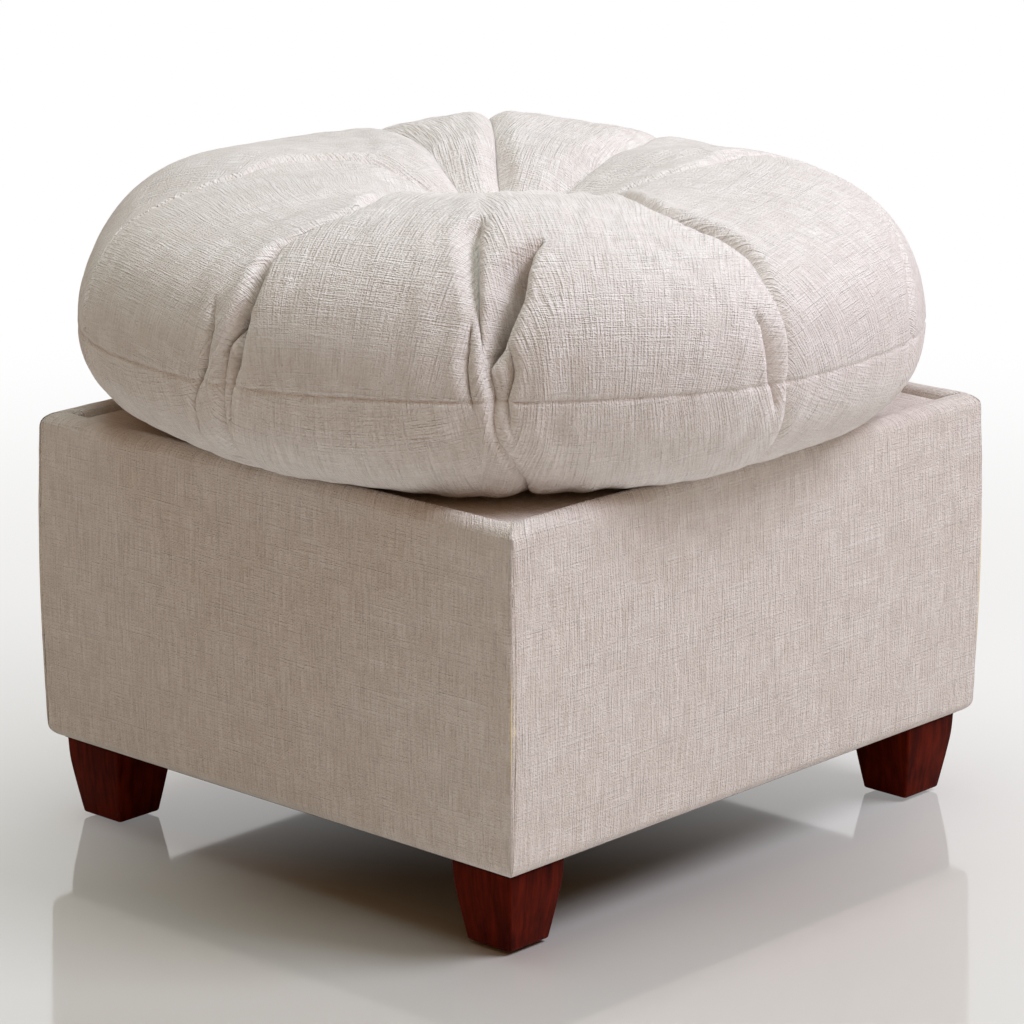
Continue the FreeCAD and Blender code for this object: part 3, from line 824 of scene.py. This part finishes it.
# A fold has the number of columns from it to the next one, its path as (distance, direction)
# and its rows as (distance, depth, width before it, width after it). The cloth after it laps
# over it where its overhang is above zero, and the cloth before it where that is below zero.
Fold = namedtuple("Fold", "columns path rows overhang", defaults=[0])
FOLDS = {
    "back": Fold(
        49,
        ((30, -179), (111, -177), (261, -177), (420, -176)),
        ((30, 8, 10, 10), (90, 20, 20, 20), (150, 13, 18, 18), (261, 9, 18, 18),
         (350, 7, 18, 18), (455, 5, 16, 16), (650, 0, 16, 16)),
    ),
    "back_left": Fold(
        49,
        ((57, -140.5), (81, -146.5), (153, -149.5), (209, -152.5), (281, -155)),
        ((30, 6, 10, 10), (110, 9, 20, 20), (200, 8, 20, 20), (281, 5, 20, 20),
         (350, 4, 20, 20), (455, 4, 16, 16), (650, 0, 16, 16)),
    ),
    "left": Fold(
        58,
        ((60, -112), (150, -108), (223, -98), (254, -88.2), (290, -85.2), (326, -83.8),
         (363, -83.2), (387, -77.2), (406, -74.5), (438, -72.5), (470, -73), (560, -75)),
        ((30, 8, 10, 10), (150, 16, 30, 20), (223, 24, 12, 14), (290, 30, 10, 12),
         (331, 34, 9, 12), (363, 32, 9, 11), (399, 27, 9, 10), (439, 20, 13, 9),
         (480, 10, 13, 12), (560, 6, 14, 14), (650, 0, 14, 14)),
        overhang=9,
    ),
    "slit_left": Fold(
        7,
        ((60, -56), (198, -41), (273, -44.8), (353, -42.5), (405, -41), (442, -41.5),
         (473, -43.8), (560, -44)),
        ((378, 0, 6, 9), (408, 15, 6, 14), (449, 19, 6, 14), (473, 12, 6, 11),
         (495, 0, 6, 8)),
    ),
    "front_left": Fold(
        9,
        ((60, -46), (150, -38), (205, -31), (248, -32.5), (279, -35), (314, -37.2),
         (333, -37), (355, -36.5), (377, -36.2), (399, -37), (420, -38), (441, -38),
         (465, -38), (487, -38.3), (513, -38.8)),
        ((30, 8, 10, 10), (100, 14, 24, 22), (177, 22, 28, 16), (213, 34, 12, 12),
         (257, 46, 11, 12), (293, 50, 11, 13), (335, 42, 9, 16), (360, 40, 8, 18),
         (386, 37, 8, 18), (414, 31, 8, 16), (441, 26, 9, 14), (465, 24, 12, 10),
         (500, 22, 15, 11), (560, 12, 16, 12), (650, 0, 14, 12)),
        overhang=6,
    ),
    "slit_right": Fold(
        58,
        ((60, -40), (280, -31.8), (353, -35.5), (399, -35.5), (461, -36.5), (500, -36.8),
         (560, -36)),
        ((362, 0, 5, 10), (392, 18, 6, 18), (438, 22, 6, 17), (465, 13, 6, 12),
         (486, 0, 6, 8)),
    ),
    "pocket_left": Fold(
        7,
        ((40, -14), (276, -6), (351, -5), (377, -4.2), (405, -4), (423, -4.2), (445, -4),
         (460, -3.5), (520, -4.4)),
        ((372, 0, 12, 6), (390, 7, 14, 7), (412, 12, 15, 8), (436, 11, 13, 8),
         (451, 6, 10, 8), (464, 0, 8, 8)),
    ),
    "pleat_left": Fold(
        18,
        ((40, -8), (261, -3.2), (277, -3.5), (316, -3.2), (351, -3), (379, -2.8),
         (399, -2.5), (447, -2.2), (520, -2.6)),
        ((244, 0, 14, 14), (263, 14, 24, 10), (281, 17, 24, 7), (316, 16, 22, 6),
         (351, 14, 18, 6), (385, 9, 14, 7), (406, 3, 10, 7), (419, 0, 8, 8)),
    ),
    "pleat_right": Fold(
        12,
        ((40, 12), (284, 6.2), (303, 5.8), (320, 5), (352, 4.2), (381, 2.5), (405, 1.2),
         (425, -0.5), (452, -0.5), (469, -0.5), (485, 0.3), (503, 2.2), (529, 4), (600, 5)),
        ((285, 0, 20, 10), (297, 14, 30, 9), (310, 28, 38, 9), (331, 36, 42, 8),
         (371, 42, 38, 8), (398, 46, 30, 9), (425, 48, 16, 12), (455, 46, 11, 14),
         (472, 36, 11, 12), (490, 26, 12, 11), (520, 18, 16, 12), (560, 11, 16, 14),
         (650, 0, 14, 14)),
        overhang=13,
    ),
    "pleat_step": Fold(
        56,
        ((40, 16), (303, 7), (352, 5), (381, 3.5), (395, 2.5), (415, 2.5), (434, 2.5),
         (455, 2), (477, 2.2), (503, 5), (529, 8), (600, 9)),
        ((382, 0, 8, 5), (403, 7, 12, 5), (424, 10, 17, 5), (449, 10, 17, 5),
         (464, 6, 14, 5), (482, 0, 10, 5)),
    ),
    "crease_right": Fold(
        9,
        ((60, 30), (296, 28.8), (402, 35.2), (450, 35.5), (470, 36.5), (560, 37.4)),
        ((384, 0, 6, 8), (414, 16, 6, 13), (449, 19, 6, 13), (464, 11, 6, 9),
         (476, 0, 7, 7)),
    ),
    "front_right": Fold(
        58,
        ((60, 54), (120, 44), (180, 34), (216, 31.5), (264, 34.2), (304, 37.2), (336, 38.5),
         (362, 38), (390, 38.5), (411, 38.8), (438, 38.5), (457, 38.2), (470, 38.5),
         (520, 40)),
        ((30, 6, 10, 10), (100, 14, 24, 24), (172, 28, 18, 27), (214, 46, 12, 30),
         (252, 60, 11, 30), (292, 62, 10, 28), (316, 56, 10, 22), (342, 46, 10, 18),
         (378, 37, 9, 13), (404, 30, 9, 12), (434, 22, 10, 12), (470, 15, 9, 12),
         (520, 9, 14, 14), (600, 4, 14, 14), (650, 0, 14, 14)),
        overhang=-12,
    ),
    "right": Fold(
        58,
        ((60, 66), (114, 77.5), (160, 88), (207, 103), (245, 106.5), (286, 107.5),
         (322, 103), (344, 90.2), (371, 78.5), (401, 73.2), (428, 70.2), (470, 69.5)),
        ((30, 3, 10, 10), (114, 10, 20, 24), (213, 22, 15, 26), (286, 27, 13, 24),
         (335, 25, 12, 22), (371, 18, 11, 20), (401, 14, 11, 18), (447, 8, 12, 16),
         (500, 5, 16, 16), (600, 0, 14, 14)),
    ),
    "back_right": Fold(
        49,
        ((55, 138.5), (85, 134), (133, 135.5), (199, 141.5), (273, 148), (420, 150)),
        ((30, 8, 10, 10), (85, 18, 14, 26), (133, 22, 15, 30), (199, 20, 16, 30),
         (273, 12, 18, 28), (350, 5, 18, 24), (650, 0, 16, 16)),
    ),
}
# Folds within a lobe, across which the flat layout of its cloth runs on.
INNER_FOLDS = (
    "slit_left", "slit_right", "pocket_left", "pleat_right", "pleat_step", "crease_right",
)


def eased(share):
    """Share from 0 to 1, with a soft start and end."""
    return share * share * (3 - 2 * share)


def by_direction(angle):
    """Rows of the body table at directions in degrees, smoothly between its own."""
    table = np.array(BODY, float)
    low = np.clip(np.searchsorted(table[:, 0], angle, side="right") - 1, 0, len(table) - 2)
    share = (angle - table[low, 0]) / (table[low + 1, 0] - table[low, 0])
    share = eased(share)[:, None]
    return table[low, 1:] * (1 - share) + table[low + 1, 1:] * share


def quarter(fullness, wide, high, shares):
    """Even steps along a rounded quarter, top to side, as parts of its width and height."""
    turn = np.linspace(0, np.pi / 2, 181)
    x, y = wide * np.sin(turn) ** (2 / fullness), high * np.cos(turn) ** (2 / fullness)
    length = np.concatenate([[0], np.cumsum(np.hypot(np.diff(x), np.diff(y)))])
    return np.interp(shares * length[-1], length, x), np.interp(shares * length[-1], length, y)


def body():
    """Radius and height of the unfolded body at every degree and every step along the cloth."""
    directions = np.arange(-180.0, 181.0)
    along = np.arange(0.0, UNDER + 1, BODY_STEP)
    parts = [along <= CREST, along <= SEAM, along <= CONTACT]
    drawn = ramp(along, BUTTON_REACH, CREST)
    flat = ramp(along, UNDER, CONTACT)
    radii, heights = [], []
    for reach, seam_z, crest_z, crest, full, low_full, lying in by_direction(directions):
        upper = quarter(full, reach - crest, crest_z - seam_z, ramp(along, CREST, SEAM))
        lower = quarter(low_full, reach - lying, seam_z - LYING_Z, ramp(along, CONTACT, SEAM))
        pit_z = PIT_Z + (crest_z - PIT_Z) * np.sin(drawn * np.pi / 2) ** DRAWN_POWER
        dimple = ramp(lying * flat, DIMPLE_REACH, BUTTON_REACH)
        under_z = LYING_Z + DIMPLE_DEPTH * eased(dimple)
        radius = [crest * ramp(along, 0, CREST), crest + upper[0], lying + lower[0]]
        height = [pit_z, seam_z + upper[1], seam_z - lower[1]]
        radii.append(np.select(parts, radius, lying * flat))
        heights.append(np.select(parts, height, under_z))
    return np.array(radii), np.array(heights)


def read_body(table, angle, along):
    """Values of a body table at directions and distances, straight between its own."""
    turn = (angle + 180) % 360
    step = np.clip(along / BODY_STEP, 0, table.shape[1] - 1.001)
    row, column = turn.astype(int), step.astype(int)
    share, part = turn - row, step - column
    first = table[row, column] * (1 - part) + table[row, column + 1] * part
    second = table[row + 1, column] * (1 - part) + table[row + 1, column + 1] * part
    return first * (1 - share) + second * share


def fold_values(table, column, distances):
    """One column of a fold's path or rows at distances along the cloth."""
    return np.interp(distances, [row[0] for row in table], [row[column] for row in table])


def ring_distances():
    """Distances of the rings of points, close together at the seam and wide apart below."""
    rings = [FIRST_RING]
    while rings[-1] < UNDER - LAST_GAP:
        far = abs(rings[-1] - SEAM)
        step = next(step for reach, step in RING_STEPS if far < reach)
        rings.append(rings[-1] + (LOW_STEP if rings[-1] > LOW_RINGS else step))
    return np.array(rings)


def column_angles(paths):
    """Direction of every point, ring by ring, and the column at which each fold begins."""
    names = list(FOLDS)
    angles, starts = [], []
    for name, following in zip(names, names[1:] + names[:1]):
        count = FOLDS[name].columns
        begin, end = paths[name], paths[following] + (360 if following == names[0] else 0)
        share = np.arange(count) / count
        if count > FEW_COLUMNS:
            share = share - CROWDING * np.sin(2 * pi * share)
        starts.append(sum(part.shape[1] for part in angles))
        angles.append(begin[:, None] + (end - begin)[:, None] * share)
    return np.concatenate(angles, axis=1), starts


def fold_relief(angle, along, radius, rings, paths):
    """How far the folds raise every point off the body, and how far they slide it round.

    A fold sinks the cloth, is pinched together where it is deep and narrow, draws wrinkles up
    beside it, and is lapped over where it has an overhang.
    """
    raised, slid = np.zeros_like(angle), np.zeros_like(angle)
    for name, fold in FOLDS.items():
        turn = (angle - paths[name][:, None] + 180) % 360 - 180
        away = np.radians(turn) * radius
        gap = np.abs(away)
        depth, before, after = (
            fold_values(fold.rows, column, rings)[:, None] for column in (1, 2, 3)
        )
        width = np.minimum(np.where(away < 0, before, after), 0.3 * radius + 1)
        near = np.clip(1 - gap / width, 0, 1)
        sharp = 1 - (1 - near ** 2) ** np.clip(0.4 + width / 45, 0.55, 1)
        raised -= depth * (sharp + (eased(near) - sharp) * ramp(width, STRAIGHT, ROLLED))
        tight = ramp(width, 35, 10) * ramp(depth, 0, 12)
        slid -= np.sign(away) * tight * PINCH * width * near ** 2 * (1 - near)
        waver = 2 * np.sin(along / WAVER + fold.path[0][1])
        drawn = np.sin(away / ACROSS_WAVE + along / ALONG_WAVE + waver)
        close = np.exp(-gap / WRINKLE_REACH) * ramp(along, 60, 150)
        raised += WRINKLE * drawn * close * ramp(gap - width, 0, 14)
        over = np.clip(np.sign(fold.overhang) * away / width, 0, None)
        slid -= fold.overhang * over * np.exp(1 - over * 1.5) * ramp(depth, 0, 20)
    return raised, slid


def unevenness(angle, along):
    """Lumps of the filling and gathers beside the seam, with the seam's sunk line."""
    turned = np.radians(angle)
    filled = np.sin(7 * turned + along / 58) * np.sin(3 * turned - along / 83 + 1)
    gathered = np.sin(61 * turned + np.sin(9 * turned)) * np.exp(-np.abs(along - SEAM) / 26)
    sunk = STITCH_DEPTH * np.exp(-((along - SEAM) / STITCH_WIDTH) ** 2)
    return (LUMP * filled + GATHER * gathered) * ramp(along, 40, 140) - sunk


def rim_top(x, y):
    """Height that the underside keeps above, over the rolled rim and the deck inside it."""
    crown, roll, crease, rise = (size / MM for size in (CROWN, ROLL, CREASE, RIM_RISE))
    edge = crown + roll
    deck_z = DECK_Z / MM
    inward = np.minimum(HALF_WIDTH / MM - np.abs(x), HALF_DEPTH / MM - np.abs(y))
    inner = deck_z + rise * np.sqrt(np.clip(1 - ((inward - edge) / (crease - edge)) ** 2, 0, 1))
    outer = CREST_Z / MM - roll + np.sqrt(np.clip(roll ** 2 - (edge - inward) ** 2, 0, roll ** 2))
    parts = [inward > crease, inward > edge, inward > crown]
    return RIM_PLAY + np.select(parts, [deck_z, inner, outer], 0)


def flat_cloth(angle, rings, starts):
    """Both panels' flat places of both sides of each face, with every lobe's middle upright."""
    columns = angle.shape[1]
    edges = [start for start, name in zip(starts, FOLDS) if name not in INNER_FOLDS] + [columns]
    row = np.searchsorted(rings, LOBE_RING)
    middle, shift = np.zeros(columns), np.zeros(columns)
    for lobe, (begin, end) in enumerate(zip(edges, edges[1:])):
        middle[begin:end] = angle[row, (begin + end) // 2]
        shift[begin:end] = lobe * LOBE_SPACING
    after = np.concatenate([angle[:, 1:], angle[:, :1] + 360], axis=1)
    flats = []
    for distance, share in ((rings, UPPER_SPREAD), (UNDER - rings, LOWER_SPREAD)):
        away = distance[:, None]
        for side in (angle, after):
            spread = np.radians(side - middle) * share
            place = [away * np.sin(spread) + shift, away * np.cos(spread)]
            flats.append(np.stack(place, axis=2) * MM)
    return flats


def cushion_grid():
    """Points of the folded cushion, its rings and its flat coordinates."""
    rings = ring_distances()
    paths = {name: fold_values(fold.path, 1, rings) for name, fold in FOLDS.items()}
    angle, starts = column_angles(paths)
    along = np.broadcast_to(rings[:, None], angle.shape)
    radii, heights = body()
    radius, height = read_body(radii, angle, along), read_body(heights, angle, along)
    slope_r, slope_z = (
        read_body(table, angle, along + BODY_STEP) - read_body(table, angle, along - BODY_STEP)
        for table in (radii, heights)
    )
    length = np.maximum(np.hypot(slope_r, slope_z), 1e-6)
    raised, slid = fold_relief(angle, along, radius, rings, paths)
    raised += unevenness(angle, along)
    radius_now = radius - raised * slope_z / length
    height_now = np.maximum(height + raised * slope_r / length, LYING_Z)
    facing = np.radians(angle + FACING) + slid / np.maximum(radius, 20)
    x = CUSHION_MIDDLE[0] + radius_now * np.cos(facing)
    y = CUSHION_MIDDLE[1] + radius_now * np.sin(facing)
    z = np.where(along > SEAM, np.maximum(height_now, rim_top(x, y)), height_now)
    return np.stack([x, y, z], axis=2) * MM, rings, flat_cloth(angle, rings, starts)


# The second colour is the painted shade of the weave's hollows.
cushion_linen = linen(
    "cushion_linen", tone(252, 247, 243), tone(228, 219, 212), tone(236, 226, 217), 0.8,
)


def cushion_uvs(rings, flats):
    """Flat coordinates of each face corner of the cover: its grid, then its two caps."""
    upper_a, upper_b, lower_a, lower_b = flats
    in_upper = (rings[1:] < SEAM + 1)[:, None, None]
    ring_a, ring_b, next_a, next_b = (
        np.where(in_upper, upper[part], lower[part])
        for part in (slice(None, -1), slice(1, None))
        for upper, lower in ((upper_a, lower_a), (upper_b, lower_b))
    )
    grid = np.stack([next_a, next_b, ring_b, ring_a], axis=2)
    top_a, top_b, low_a, low_b = upper_a[0], upper_b[0], lower_a[-1], lower_b[-1]
    top_cap = np.stack([(top_a + top_b) / 2, top_a, top_b], axis=1)
    low_cap = np.stack([(low_a + low_b) / 2, low_b, low_a], axis=1)
    return np.concatenate([part.reshape(-1, 2) for part in (grid, top_cap, low_cap)])


def cushion_cover():
    """Closed cover with a cap of triangles at the button and under the middle."""
    points, rings, flats = cushion_grid()
    rows, columns = points.shape[:2]
    x, y = (value * MM for value in CUSHION_MIDDLE)
    poles = [(x, y, PIT_Z * MM), (x, y, (LYING_Z + DIMPLE_DEPTH) * MM)]
    verts = list(points.reshape(-1, 3)) + poles
    top, bottom = len(verts) - 2, len(verts) - 1
    last_ring = (rows - 1) * columns
    faces = [face[::-1] for face in grid_faces(rows, columns, closed=True)]
    faces += [(top, c, (c + 1) % columns) for c in range(columns)]
    faces += [(bottom, last_ring + (c + 1) % columns, last_ring + c) for c in range(columns)]
    cover = new_piece("cushion_cover", verts, faces, cushion_linen, "cushion")
    lay_flat(cover, cushion_uvs(rings, flats))
    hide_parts("cushion_top_panel", "cushion_bottom_panel", "cushion_fill")


cushion_cover()


# Twine: strong twisted cord, which runs through the filling from one button to the other and
# draws the middle of the cushion down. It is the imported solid, and only gets its strands here.
def twisted_cord():
    finish = Finish("twine")
    strands = finish.noise((900, 900, 300))
    finish.bump(strands, 0.4 * MM, 0.8)
    return finish.set(
        Base_Color=finish.blend(strands, tone(196, 180, 150), tone(228, 216, 190)), Roughness=0.8,
    )


finished(["tufting_twine"], twisted_cord())


# Buttons: two domed ones covered in the cushion's linen, tied together by the twine through
# the filling. The cloth is turned in round a rolled edge and closed at the back.
BUTTON_COLUMNS = 40
BUTTON_EDGE = 4 * MM
# The dome's reach as a share of the button's, its smallest ring, its rows and its fullness.
DOME_REACH, DOME_RING, DOME_ROWS, DOME_POWER = 0.94, 0.06, 14, 2.2
# Rows of the edge and the back: share of the reach, and share of the edge's height.
BUTTON_BACK = ((1, 0.35), (1, 0.7), (0.93, 1), (0.6, 1), (0.3, 1), (0.06, 1))


def covered_button(name, side):
    """Covered button that faces up where its side is 1, and down where it is -1."""
    low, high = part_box(name)
    centre = (low + high) / 2
    half = (high.x - low.x) / 2
    edge_z = low.z + BUTTON_EDGE if side > 0 else high.z - BUTTON_EDGE
    rise = side * (high.z - low.z - BUTTON_EDGE)
    rows = [
        (half * DOME_REACH * part, edge_z + rise * (1 - part ** DOME_POWER))
        for part in np.linspace(DOME_RING, 1, DOME_ROWS)
    ]
    rows += [(half * reach, edge_z - side * BUTTON_EDGE * down) for reach, down in BUTTON_BACK]
    rows = rows[::side]
    turns = np.linspace(0, 2 * pi, BUTTON_COLUMNS, endpoint=False)
    points = [
        (centre.x + reach * np.cos(turn), centre.y + reach * np.sin(turn), z)
        for reach, z in rows for turn in turns
    ]
    faces = [face[::-1] for face in grid_faces(len(rows), BUTTON_COLUMNS, closed=True)]
    last_row = (len(rows) - 1) * BUTTON_COLUMNS
    faces += [tuple(range(BUTTON_COLUMNS)), tuple(range(last_row, len(points)))[::-1]]
    button = new_piece(name + "_cover", points, faces, cushion_linen, "cushion")
    places = np.array(points)
    loops = np.array([loop.vertex_index for loop in button.data.loops])
    lay_flat(button, places[loops][:, :2] - np.array([centre.x, centre.y]))
    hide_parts(name)


covered_button("top_button", 1)
covered_button("bottom_button", -1)
